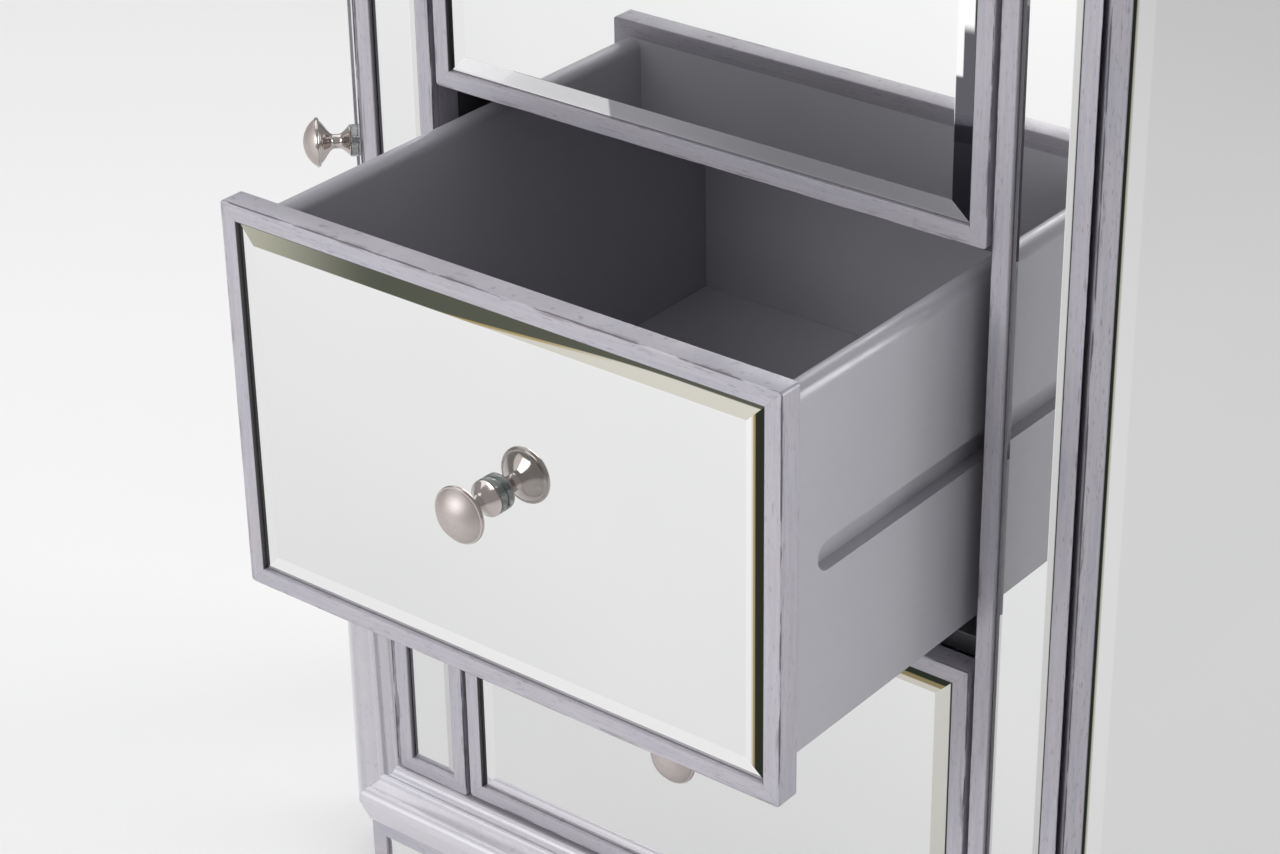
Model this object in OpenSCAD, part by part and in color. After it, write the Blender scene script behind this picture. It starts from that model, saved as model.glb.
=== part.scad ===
// Mirrored cabinet with three drawers in the middle and a door on each canted side.
// Row frame: floor at z = 0, front towards -Y, +X to the right of someone facing the front.
// The middle drawer stands open; the two others and both doors are closed.

/* [Body] */
// Width over the base moulding
overall_w = 812; // [780:1:840]
// Depth from the plane of the drawer fronts to the back
body_depth = 395; // [392:1:430]
// Height of a foot, with its glide
foot_h = 60; // [40:1:90]
// Height of the mirrored plinth boards
plinth_h = 98; // [70:1:130]
// Thickness of the vertical partitions beside the drawers
partition_t = 15; // [12:1:18]
// Thickness of the back panel
back_t = 6; // [4:1:6]

/* [Drawers] */
// Width of a drawer front
drawer_w = 345; // [330:1:350]
// Height of a drawer front
drawer_h = 220; // [210:1:230]
// Thickness of a drawer front
front_t = 14; // [12:1:16]
// Gap between one drawer front and the next
drawer_gap = 7.5; // [5:0.5:9]
// Thickness of a drawer box wall
wall_t = 12.7; // [12:0.1:14]
// How far the middle drawer stands open
open_middle = 161.5; // [0:0.5:240]

/* [Mirrors and frames] */
// Width of the frame bars round a mirror
bar_w = 10; // [9:0.5:12]
// Depth of the frame bars in front of the boards that back the mirrors
bar_t = 5; // [5:0.5:6]
// Width of a pilaster beside the drawers
pilaster_w = 53; // [48:1:58]
// Width of the bevel on a large mirror
bevel_w = 10; // [6:1:14]

/* [Doors] */
// Thickness of a door
door_t = 18; // [18:1:20]
// Gap all round a door
door_gap = 3; // [3:0.5:4]

/* [Knobs] */
// Diameter of the head
knob_d = 30.4; // [26:0.2:34]
// Length from the mirror to the tip
knob_len = 33; // [30:1:36]

/* [Hidden] */
$fn = 64;

// Paint, silvered glass, metals and boards
silver_paint = [0.71, 0.69, 0.73];
grey_paint = [0.60, 0.60, 0.64];
mirror_glass = [0.88, 0.90, 0.90];
nickel = [0.72, 0.69, 0.65];
steel = [0.60, 0.61, 0.63];
black_plastic = [0.10, 0.10, 0.11];

// Mirror glass: thickness, how far it lies behind its frame, gap to the frame, bevel depth
mirror_t = 4;
mirror_sink = bar_t - mirror_t;
mirror_gap = 0.6;
bevel_d = 1.2;
small_bevel = 4;

// Plan of the body: front edge, two edges canted at 45 degrees, two straight sides
moulding_out = 25;
plinth_out = 17.5;
side_reveal = 3;
corner_gap = 2;
body_w = overall_w - 2 * moulding_out;
bay_w = drawer_w + 2 * side_reveal;
front_w = bay_w + 2 * (pilaster_w + corner_gap);
cant_run = (body_w - front_w) / 2;
cant_len = cant_run * sqrt(2);
mitre = 22.5;
front_y = (open_middle + knob_len - mirror_sink - body_depth) / 2;
back_y = front_y + body_depth;
kerf = 0.2;
glue_line = 0.04;

// Heights
moulding_h = 32;
bottom_t = 15;
moulding_top = foot_h + plinth_h + moulding_h;
drawer_lift = 2.5;
drawer_pitch = drawer_h + drawer_gap;
top_under = moulding_top + drawer_lift + 3 * drawer_pitch - drawer_gap + 4;
top_board_t = 20;
top_lip = 12;
top_moulding_h = 25.5;
body_h = top_under - moulding_top;

// Drawer box, measured from the lower front edge of its front
box_side_in = 6.4;
box_low = 17;
box_h = 193;
box_back = 370;
floor_low = 28;
floor_t = 6;
groove_z = 114.9;
groove_h = 16.6;
groove_deep = 7;
groove_front = 37.7;
runner_clear = 0.5;
runner_start = 52;
rail_t = 12;
rail_deep = 60;

// Doors and their fittings, measured along a canted face from its front corner
door_start = 1.6;
door_w = cant_len - 2 * door_start;
door_h = body_h - 2 * door_gap;
pivot_along = door_start + 16;
pivot_in = 9.5;
pin_r = 3;
bush_r = 5;
bush_h = 10;
pin_in_door = 8.5;
door_knob_back = 37;
door_knob_up = 337;
catch_along = cant_len - 48;
catch_w = 36;

// Side compartments
side_board_t = 15;
side_in = body_w / 2 - side_board_t;
shelf_t = 12;
shelf_z = moulding_top + body_h / 2;
shelf_front = 41;
shelf_behind_door = 3.5;
shelf_pin_r = 2.5;

// Knobs, and the studs that hold them: a stud goes 7 mm into the board behind the mirror
stud_r = 1.9;
stud_hole_r = 2.1;
stud_deep = bar_t + 7;
stud_reach = 13;
washer_r = 9.8;
washer_t = 4.3;
foot_r = 9.7;
neck_r = 4.45;
dome_h = 6.8;

// ---- plan helpers ----

// Corner points of the body's plan, moved outwards by p
function outline(p) = let (t = p * tan(mitre)) [
    [-body_w / 2 - p, back_y],
    [-body_w / 2 - p, front_y + cant_run - t],
    [-front_w / 2 - t, front_y - p],
    [front_w / 2 + t, front_y - p],
    [body_w / 2 + p, front_y + cant_run - t],
    [body_w / 2 + p, back_y]
];

// The five faces, from the left side round the front to the right side
FACES = [0 : 4];
function face_length(i) = norm(outline(0)[i + 1] - outline(0)[i]);
function face_angle(i) = [-90, -45, 0, 45, 90][i];
function start_mitre(i) = i == 0 ? 0 : mitre;
function end_mitre(i) = i == 4 ? 0 : mitre;

// Places children on a face: +X along it, -Y outwards, +Y into the cabinet
module on_face(i) {
    translate(outline(0)[i]) rotate([0, 0, face_angle(i)]) children();
}

module both_sides() {
    children();
    mirror([1, 0, 0]) children();
}

// side is 1 for the right door and -1 for the left one
module on_door(side) {
    mirror([side < 0 ? 1 : 0, 0, 0]) on_face(3) children();
}

module mitre_waste(angle) {
    rotate([0, 0, -angle]) translate([-200, -200, -100]) cube([200 + kerf / 2, 400, 1400]);
}

// Bar along +X whose section is the 2D child: its x is the distance outwards, its y the height
module mitred_bar(length, first, last) {
    difference() {
        translate([-40, 0, 0])
            rotate([90, 0, 90])
                linear_extrude(length + 80)
                    mirror([1, 0]) children();
        mitre_waste(first);
        translate([length, 0, 0]) mirror([1, 0, 0]) mitre_waste(last);
    }
}

module face_bar(i) {
    on_face(i) mitred_bar(face_length(i), start_mitre(i), end_mitre(i)) children();
}

function arc(cx, cy, r, from, to, steps) =
    [for (k = [0 : steps]) let (a = from + (to - from) * k / steps) [cx + r * cos(a), cy + r * sin(a)]];

// ---- shapes that repeat ----

// Upright glass plate with a bevelled outer face at y = 0
module bevelled_mirror(w, h, bevel) {
    function section(size) = [
        [0, bevel_d], [bevel, 0], [size - bevel, 0], [size, bevel_d], [size, mirror_t], [0, mirror_t]
    ];
    intersection() {
        linear_extrude(h) polygon(section(w));
        translate([w, 0, 0]) rotate([0, -90, 0]) linear_extrude(w) polygon(section(h));
    }
}

// Mirror that fills a frame of w by h, with the gap all round
module framed_mirror(w, h, bevel) {
    edge = bar_w + mirror_gap;
    translate([edge, mirror_sink, edge]) bevelled_mirror(w - 2 * edge, h - 2 * edge, bevel);
}

// Glue lines that part a frame of w by h into four mitred bars
module mitre_joints(w, h) {
    for (x = [0, w], z = [0, h])
        translate([x, 0, z]) rotate([0, (x == 0) == (z == 0) ? -45 : 45, 0])
            cube([4 * bar_w, 60, glue_line], center = true);
}

module frame_bars(w, h, depth) {
    difference() {
        cube([w, depth, h]);
        translate([bar_w, -1, bar_w]) cube([w - 2 * bar_w, depth + 2, h - 2 * bar_w]);
        mitre_joints(w, h);
    }
}

// Board that fills a frame of w by h behind its mirror
module backing_board(w, h, depth) {
    translate([bar_w, bar_t, bar_w]) cube([w - 2 * bar_w, depth - bar_t, h - 2 * bar_w]);
}

// Knob on its washer, with its axis along -Y and the mirror's face at y = 0
module knob() {
    head_r = knob_d / 2;
    bead_r = 1.3;
    dome_start = knob_len - dome_h;
    dome_edge = head_r - bead_r;
    dome_r = (pow(dome_edge, 2) + pow(dome_h, 2)) / (2 * dome_h);
    dome_angle = asin(dome_edge / dome_r);
    profile = concat(
        [[0, washer_t], [foot_r - 0.4, washer_t]],
        [for (k = [0 : 8]) let (u = k / 8)
            [neck_r + (foot_r - neck_r) * pow(1 - u, 1.5), washer_t + 0.7 + 6 * u]],
        [for (k = [0 : 8]) let (u = k / 8)
            [neck_r + (dome_edge - 0.2 - neck_r) * pow(u, 1.5), dome_start - 11.4 + 8 * u]],
        arc(dome_edge, dome_start - 1.8, bead_r, -60, 70, 8),
        [for (k = [0 : 12]) let (a = dome_angle * (1 - k / 12))
            [dome_r * sin(a), knob_len - dome_r + dome_r * cos(a)]]
    );
    rotate([90, 0, 0]) difference() {
        rotate_extrude() polygon(profile);
        cylinder(r = stud_hole_r, h = stud_reach + 1);
    }
}

// Stud from the backing board into the knob, and the washer under the knob
module knob_fixings() {
    rotate([90, 0, 0]) {
        translate([0, 0, -stud_deep]) cylinder(r = stud_r, h = stud_deep - mirror_sink + stud_reach);
        translate([0, 0, -mirror_sink]) difference() {
            cylinder(r = washer_r, h = washer_t);
            translate([0, 0, -1]) cylinder(r = stud_hole_r, h = washer_t + 2);
        }
    }
}

module stud_hole() {
    translate([0, stud_deep + 0.2, 0]) rotate([90, 0, 0]) cylinder(r = stud_hole_r, h = stud_deep + 2);
}

// ---- drawers: 0 is the lower one ----

function drawer_z(i) = moulding_top + drawer_lift + i * drawer_pitch;
function drawer_open(i) = i == 1 ? open_middle : 0;

module in_drawer(i) {
    translate([-drawer_w / 2, front_y - drawer_open(i), drawer_z(i)]) children();
}

module drawer_panel(i) {
    color(silver_paint) in_drawer(i) difference() {
        backing_board(drawer_w, drawer_h, front_t);
        translate([drawer_w / 2, 0, drawer_h / 2]) stud_hole();
    }
}

module drawer_frame(i) {
    color(silver_paint) in_drawer(i) frame_bars(drawer_w, drawer_h, front_t);
}

module drawer_mirror(i) {
    color(mirror_glass) in_drawer(i) difference() {
        framed_mirror(drawer_w, drawer_h, bevel_w);
        translate([drawer_w / 2, 0, drawer_h / 2]) stud_hole();
    }
}

// Upright board with a fully rounded top edge, t thick along +X and l long along +Y
module round_top_board(t, l, h) {
    translate([0, l, 0]) rotate([90, 0, 0]) linear_extrude(l) {
        square([t, h - t / 2]);
        translate([t / 2, h - t / 2]) circle(d = t);
    }
}

// Left wall of a drawer, with the runner groove in its outer face
module drawer_wall() {
    wall_l = box_back + wall_t - front_t;
    difference() {
        translate([box_side_in, front_t, box_low]) round_top_board(wall_t, wall_l, box_h);
        translate([box_side_in - 1, groove_front + groove_h / 2, groove_z]) {
            rotate([0, 90, 0]) cylinder(d = groove_h, h = groove_deep + 1);
            translate([0, 0, -groove_h / 2]) cube([groove_deep + 1, wall_l, groove_h]);
        }
    }
}

module drawer_box(i) {
    inner_w = drawer_w - 2 * (box_side_in + wall_t);
    color(grey_paint) in_drawer(i) {
        drawer_wall();
        translate([drawer_w, 0, 0]) mirror([1, 0, 0]) drawer_wall();
        translate([box_side_in + wall_t + inner_w - kerf / 2, box_back, box_low])
            rotate([0, 0, 90]) round_top_board(wall_t, inner_w - kerf, box_h);
    }
}

module drawer_bottom(i) {
    inset = box_side_in + wall_t + kerf;
    color(grey_paint) in_drawer(i)
        translate([inset, front_t + kerf, floor_low])
            cube([drawer_w - 2 * inset, box_back - front_t - 2 * kerf, floor_t]);
}

module drawer_knob(i) {
    color(nickel) in_drawer(i) translate([drawer_w / 2, mirror_sink, drawer_h / 2]) knob();
}

module drawer_fixings(i) {
    color(steel) in_drawer(i) translate([drawer_w / 2, 0, drawer_h / 2]) knob_fixings();
}

// ---- doors ----

module door_shell(side) {
    color(silver_paint) on_door(side)
        translate([door_start, 0, moulding_top + door_gap]) children();
}

// Lower and upper ends of a door's pivot axis
module at_pivots(side) {
    on_door(side) translate([pivot_along, pivot_in, 0]) {
        translate([0, 0, moulding_top]) children();
        translate([0, 0, top_under]) mirror([0, 0, 1]) children();
    }
}

module at_door_knob(side, sink) {
    on_door(side)
        translate([door_start + door_w - door_knob_back, sink, moulding_top + door_knob_up]) children();
}

module door_panel(side) {
    color(silver_paint) difference() {
        door_shell(side) backing_board(door_w, door_h, door_t);
        at_door_knob(side, 0) stud_hole();
    }
}

module door_frame(side) {
    color(silver_paint) difference() {
        door_shell(side) frame_bars(door_w, door_h, door_t);
        at_pivots(side) cylinder(r = pin_r + 0.02, h = door_gap + pin_in_door);
    }
}

module door_mirror(side) {
    color(mirror_glass) difference() {
        on_door(side) translate([door_start, 0, moulding_top + door_gap])
            framed_mirror(door_w, door_h, bevel_w);
        at_door_knob(side, 0) stud_hole();
    }
}

module door_knob(side) {
    color(nickel) at_door_knob(side, mirror_sink) knob();
}

module door_fixings(side) {
    color(steel) at_door_knob(side, 0) knob_fixings();
}

module door_pivots(side) {
    color(steel) at_pivots(side) {
        translate([0, 0, -bush_h + 2]) cylinder(r = pin_r, h = bush_h - 2 + door_gap + pin_in_door);
        translate([0, 0, 0.4]) cylinder(r = pin_r + 3, h = door_gap - 0.4);
    }
}

// Steel plate on the inner face of the door, which the magnet holds
module door_strike(side) {
    color(steel) on_door(side)
        translate([catch_along, door_t, top_under - door_gap - 16]) cube([catch_w, 1.2, 12]);
}

module pivot_bushes() {
    color(steel) for (side = [-1, 1]) at_pivots(side) difference() {
        translate([0, 0, -bush_h]) cylinder(r = bush_r, h = bush_h);
        translate([0, 0, -bush_h - 1]) cylinder(r = pin_r + 0.05, h = bush_h + 2);
    }
}

// Magnetic catches under the top board
module door_catches() {
    color(black_plastic) for (side = [-1, 1]) on_door(side)
        translate([catch_along, door_t + 1.6, top_under - 18]) cube([catch_w, 14, 18]);
}

// ---- carcass ----

module top_board() {
    color(grey_paint) difference() {
        translate([0, 0, top_under]) linear_extrude(top_board_t) polygon(outline(-kerf / 2));
        for (side = [-1, 1]) at_pivots(side)
            translate([0, 0, -bush_h]) cylinder(r = bush_r + 0.02, h = bush_h + 1);
    }
}

// Section of the top's edge, from its underside up
module top_edge_section() {
    polygon(concat(
        [[0, 0], [3, 0]],
        arc(14, 0, 9, 170, 95, 8),
        [[14.5, 11]],
        arc(18, top_moulding_h - 7, 7, -60, 90, 14),
        [[-top_lip, top_moulding_h], [-top_lip, top_board_t], [0, top_board_t]]
    ));
}

module top_moulding() {
    color(silver_paint) for (i = FACES)
        translate([0, 0, top_under]) face_bar(i) top_edge_section();
}

module top_mirror() {
    color(mirror_glass) translate([0, 0, top_under + top_board_t])
        linear_extrude(mirror_t) difference() {
            polygon(outline(-top_lip - mirror_gap));
            translate([-500, back_y - 1]) square([1000, 10]);
        }
}

module back_panel() {
    color(grey_paint)
        translate([-side_in, back_y - back_t, moulding_top]) cube([2 * side_in, back_t, body_h]);
}

module bottom_board() {
    color(grey_paint) difference() {
        translate([0, 0, moulding_top - bottom_t]) linear_extrude(bottom_t) polygon(outline(-kerf / 2));
        for (side = [-1, 1]) at_pivots(side)
            translate([0, 0, -bush_h]) cylinder(r = bush_r + 0.02, h = bush_h + 1);
    }
}

module base_battens() {
    color(grey_paint) for (i = FACES)
        translate([0, 0, foot_h + plinth_h]) face_bar(i)
            translate([-22, 0]) square([22 - kerf, moulding_h - bottom_t]);
}

// Plan of a straight side, with its front edge cut square to the canted door
module side_plan(from_outside, to_outside) {
    edge = front_y + cant_run + corner_gap;
    polygon([
        [body_w / 2 - from_outside, edge + from_outside],
        [body_w / 2 - from_outside, back_y],
        [body_w / 2 - to_outside, back_y],
        [body_w / 2 - to_outside, edge + to_outside]
    ]);
}

module side_panels() {
    color(grey_paint) both_sides() difference() {
        translate([0, 0, moulding_top]) linear_extrude(body_h) side_plan(bar_t, side_board_t);
        at_shelf_pins([side_in - 1]) rotate([0, 90, 0]) cylinder(r = shelf_pin_r + 0.05, h = 9);
    }
}

// Window in the right side's frame, from front to back and bottom to top
side_window_y = front_y + cant_run + corner_gap + bar_w;
side_window_l = back_y - bar_w - side_window_y;

module side_frames() {
    color(silver_paint) both_sides() difference() {
        translate([0, 0, moulding_top]) linear_extrude(body_h) side_plan(0, bar_t - 0.01);
        translate([body_w / 2 - 20, side_window_y, moulding_top + bar_w])
            cube([40, side_window_l, body_h - 2 * bar_w]);
        translate([body_w / 2, side_window_y - bar_w, moulding_top]) rotate([0, 0, 90])
            mitre_joints(side_window_l + 2 * bar_w, body_h);
    }
}

module side_mirrors() {
    color(mirror_glass) both_sides()
        translate([body_w / 2 - mirror_sink, side_window_y + mirror_gap, moulding_top + bar_w + mirror_gap])
            rotate([0, 0, 90])
                bevelled_mirror(side_window_l - 2 * mirror_gap, body_h - 2 * (bar_w + mirror_gap), bevel_w);
}

module partitions() {
    color(grey_paint) both_sides() difference() {
        translate([bay_w / 2, front_y + 20 + kerf, moulding_top])
            cube([partition_t, body_depth - back_t - 20 - 2 * kerf, body_h]);
        at_shelf_pins([bay_w / 2 + partition_t - 8]) rotate([0, 90, 0])
            cylinder(r = shelf_pin_r + 0.05, h = 9);
    }
}

// Plan of a pilaster, with its outer edge cut square to the canted door
module pilaster_plan(from_front, to_front) {
    inner = bay_w / 2;
    outer = inner + pilaster_w;
    polygon([
        [inner, front_y + from_front],
        [outer - from_front, front_y + from_front],
        [outer - to_front, front_y + to_front],
        [inner, front_y + to_front]
    ]);
}

module pilasters() {
    color(silver_paint) both_sides()
        translate([0, 0, moulding_top]) linear_extrude(body_h) pilaster_plan(bar_t, 20);
}

module pilaster_frames() {
    color(silver_paint) both_sides() difference() {
        translate([0, 0, moulding_top]) linear_extrude(body_h) pilaster_plan(0, bar_t - 0.01);
        translate([bay_w / 2 + bar_w, front_y - 1, moulding_top + bar_w])
            cube([pilaster_w - 2 * bar_w, bar_t + 2, body_h - 2 * bar_w]);
        translate([bay_w / 2, front_y, moulding_top]) mitre_joints(pilaster_w, body_h);
    }
}

module pilaster_mirrors() {
    color(mirror_glass) both_sides()
        translate([bay_w / 2, front_y, moulding_top]) framed_mirror(pilaster_w, body_h, small_bevel);
}

// Rails across the drawer bay, behind the gaps between the fronts
module drawer_rails() {
    color(grey_paint) for (i = [1, 2])
        translate([-bay_w / 2 + kerf, front_y + front_t + 4, drawer_z(i) - drawer_gap / 2 - rail_t / 2])
            cube([bay_w - 2 * kerf, rail_deep, rail_t]);
}

// Wooden runners that the grooved drawer walls slide on
module drawer_runners() {
    groove_floor = drawer_w / 2 - box_side_in - groove_deep;
    runner_h = groove_h - 2 * runner_clear;
    color(grey_paint) both_sides() for (i = [0 : 2])
        translate([groove_floor + 1, front_y + runner_start, drawer_z(i) + groove_z - runner_h / 2])
            cube([
                bay_w / 2 - groove_floor - 1,
                body_depth - back_t - runner_start - 2,
                runner_h
            ]);
}

// Right-hand shelf: clear of the canted door, the partition and the side
module shelves() {
    inner = bay_w / 2 + partition_t + 1;
    outer = side_in - 1;
    back = back_y - back_t - 1;
    slope = front_y - front_w / 2 + (door_t + shelf_behind_door) * sqrt(2);
    front_edge = front_y + shelf_front;
    color(grey_paint) both_sides()
        translate([0, 0, shelf_z]) linear_extrude(shelf_t) polygon([
            [inner, front_edge],
            [front_edge - slope, front_edge],
            [outer, outer + slope],
            [outer, back],
            [inner, back]
        ]);
}

module at_shelf_pins(x_places) {
    for (x = x_places, y = [front_y + 205, back_y - 45])
        translate([x, y, shelf_z - shelf_pin_r]) children();
}

module shelf_pins() {
    color(steel) both_sides() {
        at_shelf_pins([bay_w / 2 + partition_t - 7]) rotate([0, 90, 0]) cylinder(r = shelf_pin_r, h = 16);
        at_shelf_pins([side_in - 9]) rotate([0, 90, 0]) cylinder(r = shelf_pin_r, h = 16);
    }
}

// ---- base ----

// Section of the base moulding, from its top down: cove, bead, slope and roll
module base_section() {
    translate([0, moulding_h]) polygon(concat(
        [[0, 0], [2, 0]],
        arc(8, 1, 6, 190, 255, 6),
        arc(9.6, -5, 2.2, 160, 25, 7),
        [[12.4, -6]],
        arc(moulding_out - 7, -15.5, 7, 95, -25, 14),
        [[21, -27], [19, -moulding_h], [0, -moulding_h]]
    ));
}

module base_moulding() {
    color(silver_paint) for (i = FACES)
        translate([0, 0, foot_h + plinth_h]) face_bar(i) base_section();
}

module plinth_boards() {
    color(grey_paint) for (i = FACES)
        translate([0, 0, foot_h]) face_bar(i)
            translate([-6, 0]) square([plinth_out - bar_t + 6, plinth_h]);
}

function plinth_start(i) = -tan(start_mitre(i)) * plinth_out + bar_w;
function plinth_window(i) =
    face_length(i) + tan(end_mitre(i)) * plinth_out - bar_w - plinth_start(i);

module plinth_frames() {
    color(silver_paint) for (i = FACES) difference() {
        translate([0, 0, foot_h]) face_bar(i)
            translate([plinth_out - bar_t + 0.01, 0]) square([bar_t - 0.01, plinth_h]);
        on_face(i) translate([plinth_start(i), -plinth_out - 1, foot_h + bar_w])
            cube([plinth_window(i), bar_t + 2, plinth_h - 2 * bar_w]);
        on_face(i) translate([plinth_start(i) - bar_w, -plinth_out, foot_h])
            mitre_joints(plinth_window(i) + 2 * bar_w, plinth_h);
    }
}

module plinth_mirrors() {
    color(mirror_glass) for (i = FACES) on_face(i)
        translate([plinth_start(i) + mirror_gap, mirror_sink - plinth_out, foot_h + bar_w + mirror_gap])
            bevelled_mirror(plinth_window(i) - 2 * mirror_gap, plinth_h - 2 * (bar_w + mirror_gap), bevel_w);
}

// Six feet: one under each corner of the plan, the back pair drawn forward
foot_w = 46;
glide_h = 4;
foot_turn = [0, -67.5, -22.5, 22.5, 67.5, 0];
foot_back = [28, 0, 0, 0, 0, 28];

module at_feet() {
    for (k = [0 : 5])
        translate(outline(-14)[k] - [0, foot_back[k]]) rotate([0, 0, foot_turn[k]]) children();
}

module feet() {
    color(silver_paint) at_feet()
        translate([-foot_w / 2, -foot_w / 2, glide_h]) cube([foot_w, foot_w, foot_h - glide_h]);
}

module foot_glides() {
    color(black_plastic) at_feet() cylinder(r = 15, h = glide_h);
}

top_board();
top_moulding();
top_mirror();
back_panel();
bottom_board();
base_battens();
side_panels();
side_frames();
side_mirrors();
partitions();
pilasters();
pilaster_frames();
pilaster_mirrors();
drawer_rails();
drawer_runners();
shelves();
shelf_pins();
base_moulding();
plinth_boards();
plinth_frames();
plinth_mirrors();
feet();
foot_glides();
pivot_bushes();
door_catches();
drawer_panel(2);  // upper_drawer_panel
drawer_frame(2);  // upper_drawer_frame
drawer_mirror(2);  // upper_drawer_mirror
drawer_box(2);  // upper_drawer_box
drawer_bottom(2);  // upper_drawer_bottom
drawer_knob(2);  // upper_drawer_knob
drawer_fixings(2);  // upper_drawer_knob_fixings
drawer_panel(1);  // middle_drawer_panel
drawer_frame(1);  // middle_drawer_frame
drawer_mirror(1);  // middle_drawer_mirror
drawer_box(1);  // middle_drawer_box
drawer_bottom(1);  // middle_drawer_bottom
drawer_knob(1);  // middle_drawer_knob
drawer_fixings(1);  // middle_drawer_knob_fixings
drawer_panel(0);  // lower_drawer_panel
drawer_frame(0);  // lower_drawer_frame
drawer_mirror(0);  // lower_drawer_mirror
drawer_box(0);  // lower_drawer_box
drawer_bottom(0);  // lower_drawer_bottom
drawer_knob(0);  // lower_drawer_knob
drawer_fixings(0);  // lower_drawer_knob_fixings
door_panel(-1);  // left_door_panel
door_frame(-1);  // left_door_frame
door_mirror(-1);  // left_door_mirror
door_knob(-1);  // left_door_knob
door_fixings(-1);  // left_door_knob_fixings
door_pivots(-1);  // left_door_pivots
door_strike(-1);  // left_door_strike
door_panel(1);  // right_door_panel
door_frame(1);  // right_door_frame
door_mirror(1);  // right_door_mirror
door_knob(1);  // right_door_knob
door_fixings(1);  // right_door_knob_fixings
door_pivots(1);  // right_door_pivots
door_strike(1);  // right_door_strike
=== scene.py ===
import math

import bmesh
import bpy
from mathutils import Matrix, Vector


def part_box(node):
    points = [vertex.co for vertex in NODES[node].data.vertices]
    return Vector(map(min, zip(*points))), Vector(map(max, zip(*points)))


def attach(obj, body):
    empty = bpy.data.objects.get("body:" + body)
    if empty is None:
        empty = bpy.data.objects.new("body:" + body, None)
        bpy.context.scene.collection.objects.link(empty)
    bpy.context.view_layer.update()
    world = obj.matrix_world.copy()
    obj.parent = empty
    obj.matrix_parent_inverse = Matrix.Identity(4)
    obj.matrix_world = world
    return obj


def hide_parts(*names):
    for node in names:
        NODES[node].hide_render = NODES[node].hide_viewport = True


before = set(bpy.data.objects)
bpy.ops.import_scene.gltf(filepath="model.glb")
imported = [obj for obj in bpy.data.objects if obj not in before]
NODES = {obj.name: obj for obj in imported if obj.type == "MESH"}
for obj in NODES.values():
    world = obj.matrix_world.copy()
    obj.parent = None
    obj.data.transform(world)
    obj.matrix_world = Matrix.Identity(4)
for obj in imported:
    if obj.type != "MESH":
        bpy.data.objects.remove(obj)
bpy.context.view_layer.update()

MM = 0.001

# Sizes that the CAD model has too
BAR = 10 * MM
GLASS_GAP = 0.6 * MM
GLASS_SINK = 1.0 * MM
BEVEL = 10 * MM
SMALL_BEVEL = 4 * MM
BEVEL_DEPTH = 1.2 * MM
DRAWER_FRAME_T = 14 * MM
DOOR_FRAME_T = 18 * MM
FRAME_T = 4.99 * MM
PILASTER_W = 53 * MM
REVEAL = 3 * MM
PLINTH_OUT = 17.5 * MM
TOP_LIP = 12 * MM
KERF = 0.2 * MM
WASHER_R = 9.8 * MM
WASHER_T = 4.3 * MM
STUD_R = 1.9 * MM
STUD_DEEP = 11 * MM
STUD_REACH = 13 * MM
THREAD = 0.8 * MM
DOOR_KNOB_BACK = 37 * MM
CANT = math.radians(45)
MITRE = math.radians(22.5)
DRAWERS = ("upper", "middle", "lower")
DOORS = (("left", -1), ("right", 1))

FRONT_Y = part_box("pilaster_frames")[0][1]
BACK_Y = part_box("back_panel")[1][1]
SIDE_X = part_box("side_frames")[1][0]
SIDE_START_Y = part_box("side_frames")[0][1]
SIDE_Y = SIDE_START_Y - 2 * MM  # the corner that the side frames start 2 mm behind
CORNER_X = SIDE_X - (SIDE_Y - FRONT_Y)
MOULDING_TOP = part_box("base_moulding")[1][2]
BODY_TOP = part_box("pilaster_frames")[1][2]
PLINTH_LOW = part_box("plinth_frames")[0][2]
PLINTH_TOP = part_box("plinth_frames")[1][2]
BAY_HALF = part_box("upper_drawer_frame")[1][0] + REVEAL


class Face:
    """An upright rectangle: u runs to the right of someone facing it, v runs up, depth runs inwards.

    A folded face stands for itself and for its mirror image on the left of the cabinet.
    """

    def __init__(self, corner, turn, width, height, folded=False):
        self.corner = Vector(corner)
        self.turn = turn
        self.along = Vector((math.cos(turn), math.sin(turn), 0))
        self.outward = Vector((math.sin(turn), -math.cos(turn), 0))
        self.width = width
        self.height = height
        self.folded = folded

    def at(self, u, v, depth=0.0):
        return self.corner + self.along * u + Vector((0, 0, v)) - self.outward * depth

    def inset(self, by):
        return Face(self.at(by, by), self.turn, self.width - 2 * by, self.height - 2 * by, self.folded)


def drawer_face(which):
    low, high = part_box(which + "_drawer_frame")
    return Face(low, 0.0, high.x - low.x, high.z - low.z)


def door_face(which, side):
    low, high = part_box(which + "_door_frame")
    width = (high.x - low.x - DOOR_FRAME_T * math.sin(CANT)) / math.cos(CANT)
    if side > 0:
        corner = (high.x - width * math.cos(CANT), low.y, low.z)
    else:
        corner = (low.x, low.y + width * math.sin(CANT), low.z)
    return Face(corner, side * CANT, width, high.z - low.z)


def drawer_knob_foot(face):
    """Where the knob's axis meets the drawer's mirror."""
    return face.at(face.width / 2, face.height / 2, GLASS_SINK)


def door_knob_foot(which, side, face):
    """Where the knob's axis meets the door's mirror."""
    low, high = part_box(which + "_door_knob")
    u = face.width - DOOR_KNOB_BACK if side > 0 else DOOR_KNOB_BACK
    return face.at(u, (low.z + high.z) / 2 - face.corner.z, GLASS_SINK)


PILASTER = Face((BAY_HALF, FRONT_Y, MOULDING_TOP), 0.0, PILASTER_W, BODY_TOP - MOULDING_TOP, folded=True)
STRAIGHT_SIDE = Face((SIDE_X, SIDE_START_Y, MOULDING_TOP), math.radians(90),
                     BACK_Y - SIDE_START_Y, BODY_TOP - MOULDING_TOP, folded=True)


# ---------------------------------------------------------------- material helpers


def rgb(red, green, blue):
    return (red, green, blue, 1.0)


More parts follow.
